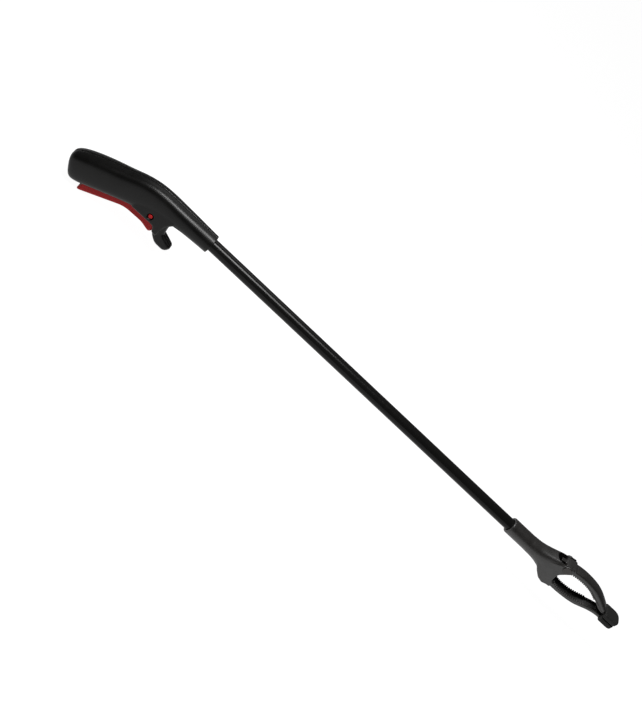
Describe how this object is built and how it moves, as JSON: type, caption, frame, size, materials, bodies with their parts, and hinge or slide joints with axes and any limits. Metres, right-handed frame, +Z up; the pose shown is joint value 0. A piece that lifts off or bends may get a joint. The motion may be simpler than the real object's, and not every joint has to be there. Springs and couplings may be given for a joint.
{
  "type": "reacher grabber",
  "caption": "Long slim reacher with a bent pistol grip, red squeeze trigger and guard hook, straight round shaft, and one moving toothed jaw that shuts on a fixed jaw with rubber tip pads.",
  "frame": {"origin": "on the shaft's axis at the handle's nose face, where the bare tube starts", "axes": "+X along the shaft towards the jaws, +Z up, away from the trigger and hook, +Y to the left of a user who points the jaws forward"},
  "size_m": [0.6675, 0.024, 0.0698],
  "materials": {
    "black_plastic": "moulded black plastic, fine satin grain",
    "head_plastic": "moulded glass-filled black nylon, satin",
    "black_tube": "gloss black anodised drawn tube",
    "red_plastic": "moulded red plastic, satin",
    "pad_rubber": "matt black rubber",
    "natural_nylon": "natural white nylon",
    "crosshead_plastic": "dark grey acetal, satin",
    "steel": "bright zinc plated steel",
    "dark_steel": "black oxide steel",
    "zinc_steel": "zinc plated pressed steel"
  },
  "bodies": {
    "frame": {"handle_right_shell": "black_plastic", "handle_left_shell": "black_plastic", "handle_screws": "steel", "shaft_tube": "black_tube", "rear_guide_bush": "natural_nylon", "front_guide_bush": "natural_nylon", "head_body": "head_plastic", "fixed_jaw_pad": "pad_rubber", "head_screw": "steel", "jaw_pivot_pin": "dark_steel", "jaw_pin_clip": "steel", "jaw_return_spring": "steel"},
    "trigger": {"trigger": "red_plastic", "trigger_link_pin": "steel"},
    "rod": {"pull_rod": "steel", "pull_plate": "zinc_steel", "crosshead": "crosshead_plastic", "rod_nuts": "steel", "rod_guides": "natural_nylon"},
    "jaw": {"moving_jaw": "head_plastic", "moving_jaw_pad": "pad_rubber", "crosshead_pin": "steel"}
  },
  "joints": [
    {"name": "trigger_release", "type": "hinge", "parent": "frame", "child": "trigger", "pos_m": [-0.0543, 0, -0.0162], "axis": [0, -1, 0], "range_deg": [0, 26], "stiffness_Nm_per_rad": 0.3, "springref_deg": 34.38},
    {"name": "rod_slide", "type": "slide", "parent": "frame", "child": "rod", "axis": [1, 0, 0], "range_m": [0, 0.00459], "deforming": ["jaw_return_spring"]},
    {"name": "jaw_open", "type": "hinge", "parent": "frame", "child": "jaw", "pos_m": [0.4482, 0, 0.012], "axis": [0, -1, 0], "range_deg": [0, 45.01]}
  ],
  "couplings": [
    {"joint": "rod_slide", "follows": "trigger_release", "m_per_rad": 0.01012},
    {"joint": "jaw_open", "follows": "trigger_release", "ratio": 1.7308}
  ]
}
